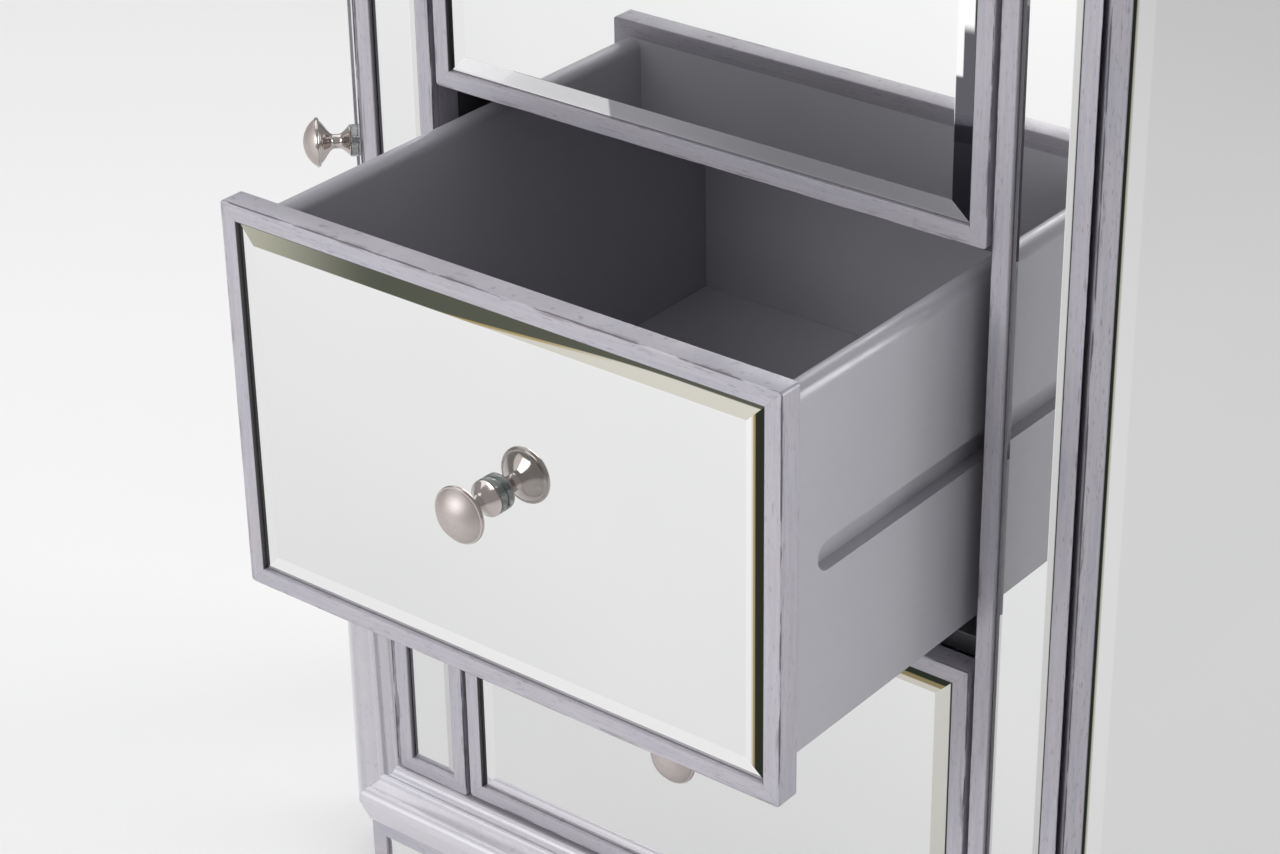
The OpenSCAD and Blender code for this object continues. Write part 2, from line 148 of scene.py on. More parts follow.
class Graph:
    """A material's node tree, with one short call for each kind of node."""

    def __init__(self, name):
        self.material = bpy.data.materials.new(name)
        self.material.use_nodes = True
        self.tree = self.material.node_tree
        self.shader = self.tree.nodes["Principled BSDF"]
        self.place = self.node("ShaderNodeTexCoord").outputs["Object"]

    def node(self, kind, **settings):
        made = self.tree.nodes.new(kind)
        for key, value in settings.items():
            setattr(made, key, value)
        return made

    def feed(self, socket, value):
        if isinstance(value, bpy.types.NodeSocket):
            self.tree.links.new(value, socket)
        else:
            socket.default_value = value

    def set(self, **values):
        """Sets or links the shader's inputs: base_color is Base Color."""
        for key, value in values.items():
            self.feed(self.shader.inputs[key.replace("_", " ").title().replace("Ior", "IOR")], value)

    def math(self, operation, first, second=0.0):
        made = self.node("ShaderNodeMath", operation=operation)
        self.feed(made.inputs[0], first)
        self.feed(made.inputs[1], second)
        return made.outputs[0]

    def least(self, *values):
        found = values[0]
        for value in values[1:]:
            found = self.math("MINIMUM", found, value)
        return found

    def vector(self, operation, first, second):
        made = self.node("ShaderNodeVectorMath", operation=operation)
        self.feed(made.inputs[0], first)
        self.feed(made.inputs[1], second)
        return made.outputs["Value" if operation == "DOT_PRODUCT" else "Vector"]

    def scaled(self, vector, x, y, z):
        return self.vector("MULTIPLY", vector, (x, y, z))

    def fold(self, vector):
        """The same vector with its x made positive, for nodes that hold a mirrored pair."""
        parts = self.node("ShaderNodeSeparateXYZ")
        self.feed(parts.inputs[0], vector)
        whole = self.node("ShaderNodeCombineXYZ")
        self.feed(whole.inputs[0], self.math("ABSOLUTE", parts.outputs[0]))
        self.feed(whole.inputs[1], parts.outputs[1])
        self.feed(whole.inputs[2], parts.outputs[2])
        return whole.outputs[0]

    def noise(self, vector, scale=1.0, detail=3.0, roughness=0.55):
        made = self.node("ShaderNodeTexNoise")
        self.feed(made.inputs["Vector"], vector)
        made.inputs["Scale"].default_value = scale
        made.inputs["Detail"].default_value = detail
        made.inputs["Roughness"].default_value = roughness
        return made.outputs["Fac"]

    def ramp(self, value, low, high, to_low=0.0, to_high=1.0):
        made = self.node("ShaderNodeMapRange", interpolation_type="SMOOTHSTEP")
        self.feed(made.inputs["Value"], value)
        for key, number in (("From Min", low), ("From Max", high), ("To Min", to_low), ("To Max", to_high)):
            made.inputs[key].default_value = number
        return made.outputs[0]

    def mix(self, factor, first, second):
        made = self.node("ShaderNodeMix", data_type="RGBA")
        self.feed(made.inputs[0], factor)
        self.feed(made.inputs[6], first)
        self.feed(made.inputs[7], second)
        return made.outputs[2]

    def cover(self, under, over, amount, strength):
        """One colour laid over another, by an amount from 0 to 1 times a strength."""
        return self.mix(self.math("MULTIPLY", amount, strength), under, over)

    def blend(self, factor, first, second):
        made = self.node("ShaderNodeMix", data_type="FLOAT")
        self.feed(made.inputs[0], factor)
        self.feed(made.inputs[2], first)
        self.feed(made.inputs[3], second)
        return made.outputs[0]

    def bump(self, height, strength, distance):
        made = self.node("ShaderNodeBump")
        made.inputs["Strength"].default_value = strength
        made.inputs["Distance"].default_value = distance
        self.feed(made.inputs["Height"], height)
        self.feed(self.shader.inputs["Normal"], made.outputs[0])

    def edges(self, face):
        """How far each point of a face lies in from its left, right, bottom and top edges."""
        place = self.fold(self.place) if face.folded else self.place
        local = self.vector("SUBTRACT", place, face.corner)
        u = self.vector("DOT_PRODUCT", local, face.along)
        v = self.vector("DOT_PRODUCT", local, (0, 0, 1))
        return u, self.math("SUBTRACT", face.width, u), v, self.math("SUBTRACT", face.height, v)

    def depth(self, face):
        """How far each point lies behind a face."""
        place = self.fold(self.place) if face.folded else self.place
        local = self.vector("SUBTRACT", face.corner, place)
        return self.vector("DOT_PRODUCT", local, face.outward)

    def bands(self, distance, stops):
        """Colours side by side. stops hold (how far each reaches, colour), and the last fills the rest."""
        blur = 0.35 * MM
        colour = stops[-1][1]
        for reach, nearer in reversed(stops[:-1]):
            colour = self.mix(self.ramp(distance, reach - blur, reach + blur), nearer, colour)
        return colour


# ---------------------------------------------------------------- paints, glass and metal

SILVER = rgb(0.480, 0.460, 0.508)
# Painted light: a pale silver that lightens the moulding paint
SILVER_PAINTED_LIGHT = rgb(0.880, 0.865, 0.900)
SILVER_SHADE = rgb(0.392, 0.373, 0.415)
SILVER_PINK = rgb(0.465, 0.418, 0.455)
SILVER_BLUE = rgb(0.385, 0.392, 0.452)
SILVER_GRAIN = rgb(0.165, 0.140, 0.160)
SILVER_WORN = rgb(0.060, 0.045, 0.056)
# Painted shade for the inner edges of the frame bars
INNER_EDGE_SHADE = rgb(0.055, 0.050, 0.054)
GREY_PAINT = rgb(0.450, 0.443, 0.480)
GREY_DEEP = rgb(0.432, 0.425, 0.462)
# Lighter copies of the grey paint, as painted light inside the drawers
PALE_PAINTED_LIGHT = rgb(0.640, 0.632, 0.672)
PALE_PAINTED_LIGHT_DEEP = rgb(0.610, 0.602, 0.642)
# Darker copies of the grey paint, as painted shade in the drawer bay
BAY_SHADE_PAINT = rgb(0.085, 0.082, 0.092)
BAY_SHADE_DEEP = rgb(0.070, 0.067, 0.076)


def silver(name, face=None, level=0.0, wear=0.5, inner_shade=1.0, gloss_and_painted_light=0.0):
    """Antique silver paint, brushed along +Z, or along the level directions where level is 1.

    On a framed face the brush follows each bar, the bars meet in a fine mitred joint, dark ground
    shows in broken lines along their outer front edges, and painted shade darkens their inner edges.
    The last argument makes the paint glossier, and lightens it as painted light on the mouldings.
    """
    graph = Graph(name)
    place = graph.place
    edge_line = 0.0
    near_edge = 0.0
    painted_shade_edge = 0.0
    joint = 0.0
    if face:
        left, right, bottom, top = graph.edges(face)
        side, end = graph.least(left, right), graph.least(bottom, top)
        level = graph.math("GREATER_THAN", graph.math("SUBTRACT", side, end), 0.0)
        inward = graph.least(side, end)
        depth = graph.depth(face)
        from_edge = graph.math("MAXIMUM", inward, depth)
        edge_line = graph.ramp(from_edge, 0.45 * MM, 0.85 * MM, 1.0, 0.0)
        near_edge = graph.ramp(from_edge, 1.0 * MM, 3.5 * MM, 1.0, 0.0)
        # Painted shade: the bars' inner edges are darkened at the front, and less along the bottom bar
        in_front = graph.ramp(depth, 5.5 * MM, 6.0 * MM, inner_shade, 0.0)
        lit_below = graph.ramp(graph.math("SUBTRACT", bottom, inward), 0.0, 0.3 * MM, 0.25, 1.0)
        shaded = graph.ramp(inward, BAR - 0.8 * MM, BAR - 0.4 * MM)
        painted_shade_edge = graph.math("MULTIPLY", in_front, graph.math("MULTIPLY", shaded, lit_below))
        from_mitre = graph.math("ABSOLUTE", graph.math("SUBTRACT", side, end))
        joint = graph.ramp(from_mitre, 0.12 * MM, 0.3 * MM, 1.0, 0.0)

    def brushed(across, length, detail, roughness):
        upright = graph.noise(graph.scaled(place, across, across, length), 1.0, detail, roughness)
        lying = graph.noise(graph.scaled(place, length, length, across), 1.0, detail, roughness)
        return graph.blend(level, upright, lying)

    marks = brushed(700, 26, 4.0, 0.6)
    flecks = brushed(1300, 170, 2.0, 0.5)
    lines = brushed(420, 34, 3.0, 0.62)
    broad = graph.noise(place, 7.0, 2.0)
    rosy = graph.noise(graph.scaled(place, 16, 16, 9), 1.0, 2.0)
    shade = graph.blend(0.35, graph.ramp(marks, 0.34, 0.68), graph.ramp(broad, 0.35, 0.7))
    paint = graph.cover(SILVER, SILVER_SHADE, shade, 0.8)
    paint = graph.cover(paint, SILVER_PINK, graph.ramp(rosy, 0.42, 0.72), 0.25)
    cool = graph.ramp(brushed(230, 16, 3.0, 0.6), 0.48, 0.66)
    paint = graph.cover(paint, SILVER_BLUE, cool, 0.3 + 0.4 * wear)
    paint = graph.cover(paint, SILVER_GRAIN, graph.ramp(flecks, 0.59, 0.72), 0.30 + 0.2 * wear)
    paint = graph.cover(paint, SILVER_GRAIN, graph.ramp(lines, 0.68, 0.77), 0.40 + 0.2 * wear)
    rubbed = graph.math("MULTIPLY", graph.ramp(lines, 0.53, 0.66), near_edge)
    paint = graph.cover(paint, SILVER_GRAIN, rubbed, 0.35 + 0.45 * wear)
    broken = graph.math("MULTIPLY", graph.ramp(lines, 0.50 - 0.14 * wear, 0.60 - 0.14 * wear), edge_line)
    paint = graph.cover(paint, SILVER_WORN, broken, 0.65 + 0.25 * wear)
    paint = graph.cover(paint, SILVER_GRAIN, joint, 0.25)
    # Painted light: the moulding paint is lightened towards pale silver
    paint = graph.mix(0.4 * gloss_and_painted_light, paint, SILVER_PAINTED_LIGHT)
    graph.set(
        base_color=graph.mix(painted_shade_edge, paint, INNER_EDGE_SHADE),
        roughness=graph.ramp(marks, 0.3, 0.7, 0.38 - 0.10 * gloss_and_painted_light, 0.50 - 0.12 * gloss_and_painted_light),
        metallic=0.22 + 0.13 * gloss_and_painted_light,
    )
    graph.bump(graph.blend(0.4, marks, flecks), 0.16, 0.22 * MM)
    return graph.material


def satin_grey(name, light, deep):
    """Smooth sprayed paint on the drawer boxes and the carcass."""
    graph = Graph(name)
    mottle = graph.noise(graph.place, 6.0, 2.0)
    grain = graph.noise(graph.scaled(graph.place, 240, 50, 240), 1.0, 2.0)
    graph.set(
        base_color=graph.mix(graph.ramp(mottle, 0.3, 0.75), light, deep),
        roughness=graph.ramp(grain, 0.3, 0.7, 0.30, 0.40),
        metallic=0.18,
    )
    graph.bump(grain, 0.05, 0.15 * MM)
    return graph.material


GLASS_CLEAR = rgb(0.765, 0.770, 0.765)
GLASS_FAINT = rgb(0.745, 0.753, 0.748)
BEVEL_BRIGHT = rgb(0.87, 0.875, 0.87)
BEVEL_PALE = rgb(0.80, 0.805, 0.80)
BEVEL_SOFT = rgb(0.60, 0.60, 0.595)
BEVEL_GREY = rgb(0.58, 0.57, 0.535)
BEVEL_WHITE = rgb(0.93, 0.93, 0.94)
BEVEL_MILKY = rgb(0.42, 0.42, 0.44)
BEVEL_DULL = rgb(0.29, 0.29, 0.305)
BEVEL_SLATE = rgb(0.095, 0.095, 0.108)
BEVEL_KHAKI = rgb(0.235, 0.195, 0.100)
BEVEL_BEIGE = rgb(0.525, 0.508, 0.452)
BEVEL_CREAM = rgb(0.66, 0.61, 0.48)
BEVEL_GOLD = rgb(0.34, 0.272, 0.130)
BEVEL_SAGE = rgb(0.430, 0.425, 0.345)
BEVEL_OLIVE = rgb(0.075, 0.080, 0.060)
# Painted shadow: the dark line where the frame's shaded inner wall meets and shows in the glass
GLASS_EDGE_SHADOW = rgb(0.022, 0.028, 0.020)

# Painted reflections and shadows on the ground bevels, as (how far each reaches, colour) bands from each
# edge
CLOSED_EDGES = {
    "left": [(BEVEL, BEVEL_PALE)],
    "right": [(1.2 * MM, GLASS_EDGE_SHADOW), (BEVEL, BEVEL_PALE)],
    "bottom": [(BEVEL, BEVEL_BRIGHT)],
    "top": [(4.0 * MM, GLASS_EDGE_SHADOW), (6.5 * MM, BEVEL_KHAKI), (BEVEL, BEVEL_BEIGE)],
}
DOOR_EDGES = dict(CLOSED_EDGES, left=[(1.5 * MM, GLASS_EDGE_SHADOW), (2.4 * MM, BEVEL_BEIGE), (BEVEL, BEVEL_PALE)])
LOWER_EDGES = dict(CLOSED_EDGES, right=[(1.2 * MM, GLASS_EDGE_SHADOW), (BEVEL, BEVEL_GREY)])
OPEN_EDGES = dict(
    CLOSED_EDGES,
    right=[(5.0 * MM, GLASS_EDGE_SHADOW), (6.1 * MM, BEVEL_GOLD), (7.0 * MM, BEVEL_CREAM), (BEVEL, BEVEL_PALE)],
    top=[(8.4 * MM, BEVEL_OLIVE), (9.6 * MM, BEVEL_GOLD), (BEVEL, BEVEL_BEIGE)],
)
NARROW_EDGES = {
    "left": [(SMALL_BEVEL, BEVEL_SOFT)],
    "right": [(0.9 * MM, GLASS_EDGE_SHADOW), (SMALL_BEVEL, BEVEL_SOFT)],
    "bottom": [(SMALL_BEVEL, BEVEL_BRIGHT)],
    "top": [(1.2 * MM, GLASS_EDGE_SHADOW), (SMALL_BEVEL, BEVEL_BEIGE)],
}


def fading_top(graph, distances, width, stops):
    """The top bevel's painted reflection: dark and golden bands, which start pale on the left and thin out
    to the right.
    """
    along = graph.math("DIVIDE", distances["left"], width)
    thinning = graph.ramp(along, 0.30, 0.86, -2.0 * MM, 6.2 * MM)
    (dark_reach, dark), (gold_reach, gold), last = stops
    gold = graph.mix(graph.ramp(along, 0.58, 0.78), gold, last[1])
    shifted = graph.math("ADD", distances["top"], thinning)
    tint = graph.bands(shifted, [(dark_reach, dark), (gold_reach, gold), last])
    return graph.mix(graph.ramp(along, -0.06, 0.30, 1.0, 0.0), tint, BEVEL_SAGE)


def milky_bottom(graph, distances, width):
    """The bottom bevel's painted reflection above an open drawer: white on the left, then milky."""
    along = graph.math("DIVIDE", distances["left"], width)
    milky = graph.mix(graph.ramp(along, 0.34, 0.70), BEVEL_MILKY, BEVEL_DULL)
    return graph.mix(graph.ramp(along, 0.325, 0.332), BEVEL_WHITE, milky)


def slate_right(graph, distances, height, tint):
    """The right bevel's tint with a painted slate-grey reflection over its lower half, which reaches right
    across low down.
    """
    low = graph.ramp(distances["bottom"], 0.47 * height, 0.50 * height, 1.0, 0.0)
    lowest = graph.ramp(distances["bottom"], 0.36 * height, 0.37 * height, 1.0, 0.0)
    slate = graph.bands(distances["right"], [(6.3 * MM, BEVEL_SLATE), (BEVEL, BEVEL_PALE)])
    return graph.mix(lowest, graph.mix(low, tint, slate), BEVEL_SLATE)


def looking_glass(name, face, edges=CLOSED_EDGES, shadows=(), fading=False, over_drawer=False):
    """Silvered glass. The ground bevels carry dark, golden or pale bands of painted reflection and shadow.

    shadows are points that a knob's washer stands on, round which the glass gets a painted dark
    spot as its shadow. With fading, the painted dark band of the top bevel starts pale on the left
    and thins out towards the right. With over_drawer, painted reflections make the bottom bevel
    white on the left and milky, less silvered, on the right, and the lower half of the right one
    slate grey.
    """
    graph = Graph(name)
    haze = graph.noise(graph.place, 5.0, 2.0)
    colour = graph.mix(graph.ramp(haze, 0.3, 0.7), GLASS_CLEAR, GLASS_FAINT)
    silvered = 1.0
    if face:
        distances = dict(zip(("left", "right", "bottom", "top"), graph.edges(face)))
        inward = graph.least(*distances.values())
        for side, distance in distances.items():
            bevel = edges[side][-1][0]
            nearest = graph.math("LESS_THAN", distance, graph.math("ADD", inward, 0.01 * MM))
            within = graph.ramp(distance, bevel - 0.5 * MM, bevel, 1.0, 0.0)
            ground = graph.math("MULTIPLY", nearest, within)
            if fading and side == "top":
                tint = fading_top(graph, distances, face.width, edges[side])
            elif over_drawer and side == "bottom":
                tint = milky_bottom(graph, distances, face.width)
                silvered = graph.math("SUBTRACT", 1.0, graph.math("MULTIPLY", ground, 0.9))
            else:
                tint = graph.bands(distance, edges[side])
            if over_drawer and side == "right":
                tint = slate_right(graph, distances, face.height, tint)
            colour = graph.mix(ground, colour, tint)
    # Painted shadow: a dark spot on the glass round each knob's washer
    for spot in shadows:
        away = graph.node("ShaderNodeVectorMath", operation="DISTANCE")
        graph.feed(away.inputs[0], graph.place)
        graph.feed(away.inputs[1], spot)
        dark = graph.ramp(away.outputs["Value"], WASHER_R - 1.2 * MM, WASHER_R - 0.3 * MM, 0.8, 0.0)
        colour = graph.mix(dark, colour, GLASS_EDGE_SHADOW)
    graph.set(
        base_color=colour,
        roughness=graph.ramp(haze, 0.3, 0.7, 0.004, 0.012),
        metallic=silvered,
    )
    return graph.material


NICKEL = rgb(0.535, 0.485, 0.468)
NICKEL_DEEP = rgb(0.495, 0.447, 0.430)
ZINC_LIGHT = rgb(0.58, 0.59, 0.60)
ZINC_DEEP = rgb(0.46, 0.47, 0.48)
BLACK_DEEP = rgb(0.012, 0.012, 0.013)
BLACK_LIGHT = rgb(0.03, 0.03, 0.032)
CLEAR_LIGHT = rgb(0.46, 0.49, 0.48)
CLEAR_DEEP = rgb(0.36, 0.39, 0.38)
FLOOR_WHITE = rgb(0.90, 0.90, 0.90)
FLOOR_WHITER = rgb(0.93, 0.93, 0.93)


def satin_nickel(name, foot, outward):
    """Warm nickel: a satin dome, with a polished bead, neck and foot."""
    graph = Graph(name)
    local = graph.vector("SUBTRACT", graph.place, foot)
    height = graph.vector("DOT_PRODUCT", local, outward)
    cloud = graph.noise(local, 90.0, 2.0)
    fine = graph.node("ShaderNodeTexNoise", noise_dimensions="1D")
    graph.feed(fine.inputs["W"], height)
    fine.inputs["Scale"].default_value = 2600.0
    bead_top, dome_low = 25.4 * MM, 25.9 * MM
    dome = graph.ramp(height, bead_top, dome_low)
    brushed = graph.ramp(fine.outputs["Fac"], 0.3, 0.7, 0.48, 0.56)
    graph.set(
        base_color=graph.mix(graph.ramp(cloud, 0.3, 0.7), NICKEL, NICKEL_DEEP),
        roughness=graph.blend(dome, 0.13, brushed),
        metallic=1.0,
    )
    return graph.material


def zinc(name):
    graph = Graph(name)
    bloom = graph.noise(graph.place, 220.0, 3.0)
    graph.set(
        base_color=graph.mix(bloom, ZINC_LIGHT, ZINC_DEEP),
        roughness=graph.ramp(bloom, 0.3, 0.7, 0.24, 0.42),
        metallic=1.0,
    )
    return graph.material


def black_plastic(name):
    graph = Graph(name)
    grain = graph.noise(graph.place, 900.0, 2.0)
    graph.set(
        base_color=graph.mix(grain, BLACK_DEEP, BLACK_LIGHT),
        roughness=graph.ramp(grain, 0.3, 0.7, 0.4, 0.6),
    )
    graph.bump(grain, 0.2, 0.1 * MM)
    return graph.material


def clear_plastic(name):
    graph = Graph(name)
    cloud = graph.noise(graph.place, 300.0, 2.0)
    graph.set(
        base_color=graph.mix(cloud, CLEAR_LIGHT, CLEAR_DEEP),
        roughness=graph.ramp(cloud, 0.3, 0.7, 0.05, 0.10),
        transmission_weight=0.75,
        ior=1.49,
    )
    return graph.material


GREY = satin_grey("satin_grey_paint", GREY_PAINT, GREY_DEEP)
# Grey paint lightened as painted light, for the drawers' bottoms and inner front panels
GREY_WITH_PAINTED_LIGHT = satin_grey("grey_paint_painted_light", PALE_PAINTED_LIGHT, PALE_PAINTED_LIGHT_DEEP)
# Grey paint darkened as painted shade, for the drawer bay
BAY_PAINTED_SHADE = satin_grey("grey_paint_painted_shade", BAY_SHADE_PAINT, BAY_SHADE_DEEP)
ZINC = zinc("zinc_plate")
BLACK = black_plastic("black_plastic")
CLEAR = clear_plastic("clear_plastic")
SILVER_UP = silver("silver_paint_upright")
SILVER_LEVEL = silver("silver_paint_level", level=1.0)
# The moulding paint: glossier, and lightened as painted light
SILVER_MOULDING = silver("silver_paint_moulding", level=1.0, gloss_and_painted_light=1.0)


# ---------------------------------------------------------------- CAD nodes that stay: looks


def paint(node, material):
    slots = NODES[node].data.materials
    slots.clear()
    slots.append(material)


def soften(node, radius):
    """Eases a board's sharp edges."""
    obj = NODES[node]
    weld = obj.modifiers.new("weld", "WELD")
    weld.merge_threshold = 0.01 * MM
    bevel = obj.modifiers.new("ease", "BEVEL")
    bevel.width = radius
    bevel.segments = 3
    bevel.limit_method = "ANGLE"
    bevel.angle_limit = math.radians(40)


for node in ("top_board", "back_panel", "bottom_board", "base_battens", "side_panels", "shelves",
             "plinth_boards"):
    paint(node, GREY)
# The drawer bay's partitions, rails and runners: painted shade
for node in ("partitions", "drawer_rails", "drawer_runners"):
    paint(node, BAY_PAINTED_SHADE)
for node in ("shelf_pins", "pivot_bushes"):
    paint(node, ZINC)
for node in ("foot_glides", "door_catches"):
    paint(node, BLACK)
for node in ("pilasters", "feet"):
    paint(node, SILVER_UP)
soften("feet", 1.5 * MM)
soften("shelves", 1.0 * MM)
soften("drawer_rails", 0.8 * MM)
soften("drawer_runners", 0.8 * MM)

GLASS_INSET = BAR + GLASS_GAP
# Each drawer's mirror gets its own painted bevel reflections and shadows
GLASS_EDGES = {"upper": CLOSED_EDGES, "middle": OPEN_EDGES, "lower": LOWER_EDGES}
paint("pilaster_mirrors", looking_glass("glass_pilasters", PILASTER.inset(GLASS_INSET), NARROW_EDGES))
paint("side_mirrors", looking_glass("glass_sides", STRAIGHT_SIDE.inset(GLASS_INSET)))
paint("plinth_mirrors", looking_glass("glass_plinth", None))

for which in DRAWERS:
    name = which + "_drawer_"
    face = drawer_face(which)
    glass = looking_glass("glass_" + name, face.inset(GLASS_INSET), GLASS_EDGES[which],
                          [drawer_knob_foot(face)], fading=which == "middle", over_drawer=which == "upper")
    # The inner front panel and the bottom get grey paint lightened as painted light
    paint(name + "panel", GREY_WITH_PAINTED_LIGHT)
    paint(name + "mirror", glass)
    paint(name + "box", GREY)
    paint(name + "bottom", GREY_WITH_PAINTED_LIGHT)


# ---------------------------------------------------------------- new pieces


def new_piece(name, points, faces, material, body, slot, node=None, crease=35.0):
    """A smooth-shaded mesh piece that rides on a body and may stand for a CAD node."""
    made = bmesh.new()
    corners = [made.verts.new(point) for point in points]
    for loop in faces:
        made.faces.new([corners[k] for k in loop])
    bmesh.ops.remove_doubles(made, verts=made.verts, dist=0.002 * MM)
    bmesh.ops.recalc_face_normals(made, faces=made.faces)
    mesh = bpy.data.meshes.new(name)
    made.to_mesh(mesh)
    made.free()
    mesh.polygons.foreach_set("use_smooth", [True] * len(mesh.polygons))
    mesh.set_sharp_from_angle(angle=math.radians(crease))
    mesh.materials.append(material)
    obj = bpy.data.objects.new(name, mesh)
    bpy.context.scene.collection.objects.link(obj)
    if node:
        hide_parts(node)
    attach(obj, body)


def arc(cx, cy, radius, start, end, steps):
    angles = [math.radians(start + (end - start) * k / steps) for k in range(steps + 1)]
    return [(cx + radius * math.cos(a), cy + radius * math.sin(a)) for a in angles]


def ring(face, depth, leans=(0.0, 0.0)):
    """Points and faces of a frame round a face, with eased edges and corners.

    leans say how much the left and right outer edges slant inwards for each unit of depth.
    """
    back, front, inner, corner = 0.7 * MM, 0.8 * MM, 0.6 * MM, 2.2 * MM
    section = (
        arc(back, depth - back, back, 90, 180, 3) + arc(front, front, front, 180, 270, 7)
        + arc(BAR - inner, inner, inner, 270, 360, 4) + [(BAR, depth)]
    )
    points, count, turns = [], len(section), 6
    for across, rise, start in ((0, 0, 180), (1, 0, 270), (1, 1, 0), (0, 1, 90)):
        for step in range(turns + 1):
            angle = math.radians(start + 90 * step / turns)
            for inset, deep in section:
                if inset < corner:
                    away = corner - inset
                    du = corner + away * math.cos(angle) * (1, -1)[across]
                    dv = corner + away * math.sin(angle) * (1, -1)[rise]
                else:
                    du = dv = inset
                lean = leans[across] * deep * (1 - inset / BAR)
                u = face.width - du - lean if across else du + lean
                v = face.height - dv if rise else dv
                points.append(face.at(u, v, deep))
    rings = len(points) // count
    faces = []
    for k in range(rings):
        for j in range(count):
            low, high = k * count, (k + 1) % rings * count
            after = (j + 1) % count
            faces.append([low + j, low + after, high + after, high + j])
    return points, faces


def joined(parts):
    """Several (points, faces) pairs as one."""
    points, faces = [], []
    for more_points, more_faces in parts:
        start = len(points)
        points += more_points
        faces += [[start + k for k in loop] for loop in more_faces]
    return points, faces


def with_twin(points, faces):
    """The shape and its mirror image on the other side of the cabinet."""
    twin = [Vector((-p.x, p.y, p.z)) for p in points]
    return joined([(points, faces), (twin, [loop[::-1] for loop in faces])])


for which in DRAWERS:
    name = which + "_drawer_frame"
    face = drawer_face(which)
    drawer_silver = silver("silver_" + name, face)
    new_piece(name + "_bars", *ring(face, DRAWER_FRAME_T), drawer_silver, which + "_drawer",
              "silver_paint", name)

for which, side in DOORS:
    name = which + "_door_"
    face = door_face(which, side)
    door_silver = silver("silver_" + name, face, wear=1.0, inner_shade=0.5)
    new_piece(name + "frame_bars", *ring(face, DOOR_FRAME_T), door_silver, which + "_door",
              "silver_paint", name + "frame")
    glass = looking_glass("glass_" + name, face.inset(GLASS_INSET), DOOR_EDGES,
                          [door_knob_foot(which, side, face)])
    paint(name + "panel", GREY)
    paint(name + "mirror", glass)
    paint(name + "pivots", ZINC)
    paint(name + "strike", ZINC)

PILASTER_SILVER = silver("silver_pilasters", PILASTER, wear=1.0, inner_shade=0.3)
SIDE_SILVER = silver("silver_sides", STRAIGHT_SIDE, inner_shade=0.3)
new_piece("pilaster_frame_bars", *with_twin(*ring(PILASTER, FRAME_T, (0.0, 1.0))), PILASTER_SILVER,
          "cabinet", "silver_paint", "pilaster_frames")
new_piece("side_frame_bars", *with_twin(*ring(STRAIGHT_SIDE, FRAME_T, (1.0, 0.0))), SIDE_SILVER,
          "cabinet", "silver_paint", "side_frames")


def outline(out):
    """The body's plan corners moved outwards, from the left back round the front to the right back."""
    slip = out * math.tan(MITRE)
    right = [(CORNER_X + slip, FRONT_Y - out), (SIDE_X + out, SIDE_Y - slip), (SIDE_X + out, BACK_Y)]
    return [(-x, y) for x, y in reversed(right)] + right


def plinth_faces():
    """The five faces of the plinth, with the slants of their ends."""
    corners = outline(PLINTH_OUT)
    for k in range(5):
        start, end = Vector(corners[k]), Vector(corners[k + 1])
        turn = math.atan2(end.y - start.y, end.x - start.x)
        leans = (0.0 if k == 0 else math.tan(MITRE), 0.0 if k == 4 else math.tan(MITRE))
        cuts = [KERF / 2 if lean else 0.0 for lean in leans]
        face = Face((*start, PLINTH_LOW), turn, (end - start).length, PLINTH_TOP - PLINTH_LOW)
        face.corner = face.at(cuts[0], 0)
        face.width -= sum(cuts)
        yield face, leans


new_piece("plinth_frame_bars", *joined(ring(face, FRAME_T, leans) for face, leans in plinth_faces()),
          SILVER_LEVEL, "cabinet", "silver_paint", "plinth_frames")


def lathe(profile, turns, place):
    """Points and faces of a profile of (radius, height) turned round +Z, then moved by place."""
    points, faces, rings = [], [], []
    for radius, height in profile:
        if radius < 1e-6:
            rings.append([len(points)] * turns)
            points.append(place @ Vector((0, 0, height)))
            continue
        rings.append(list(range(len(points), len(points) + turns)))
        for k in range(turns):
            angle = 2 * math.pi * k / turns
            points.append(place @ Vector((radius * math.cos(angle), radius * math.sin(angle), height)))
    for low, high in zip(rings, rings[1:]):
        for k in range(turns):
            following = (k + 1) % turns
            corners = list(dict.fromkeys([low[k], low[following], high[following], high[k]]))
            if len(corners) > 2:
                faces.append(corners)
    return points, faces


def knob_profile():
    """A knob's radius and height in metres, from its foot on the washer to the middle of its dome."""
    # In millimetres: radii, then the heights where each part starts or ends
    foot, neck, head, bead, edge = 9.7, 4.45, 15.2, 1.8, 14.1
    foot_low, taper_low, taper_high, flare_low, flare_high = 4.3, 5.15, 11.15, 14.8, 22.8
    bead_at, dome_base, tip = 24.4, 25.75, 33.0
    taper, flare, rise = taper_high - taper_low, flare_high - flare_low, tip - dome_base
    narrowing, swell = foot - 0.35 - neck, head - bead - 0.2 - neck
    points = [(0, foot_low), (foot - 0.3, foot_low), (foot, foot_low + 0.3), (foot, foot_low + 0.7)]
    points += [(neck + narrowing * (1 - k / 14) ** 1.5, taper_low + taper * k / 14) for k in range(15)]
    for k in range(19):
        along = k / 18
        ogee = 0.45 * along ** 1.5 + 0.55 * math.sin(along * math.pi / 2) ** 2
        points.append((neck + swell * ogee, flare_low + flare * along))
    points += arc(head - bead, bead_at, bead, -60, 38, 12)
    points += [(edge + 0.05, dome_base - 0.15), (edge, dome_base)]
    radius = (edge ** 2 + rise ** 2) / (2 * rise)
    widest = math.asin(edge / radius)
    for k in range(1, 21):
        angle = widest * (1 - k / 20)
        points.append((radius * math.sin(angle), tip - radius + radius * math.cos(angle)))
    return [(max(r, 0.0) * MM, h * MM) for r, h in points]


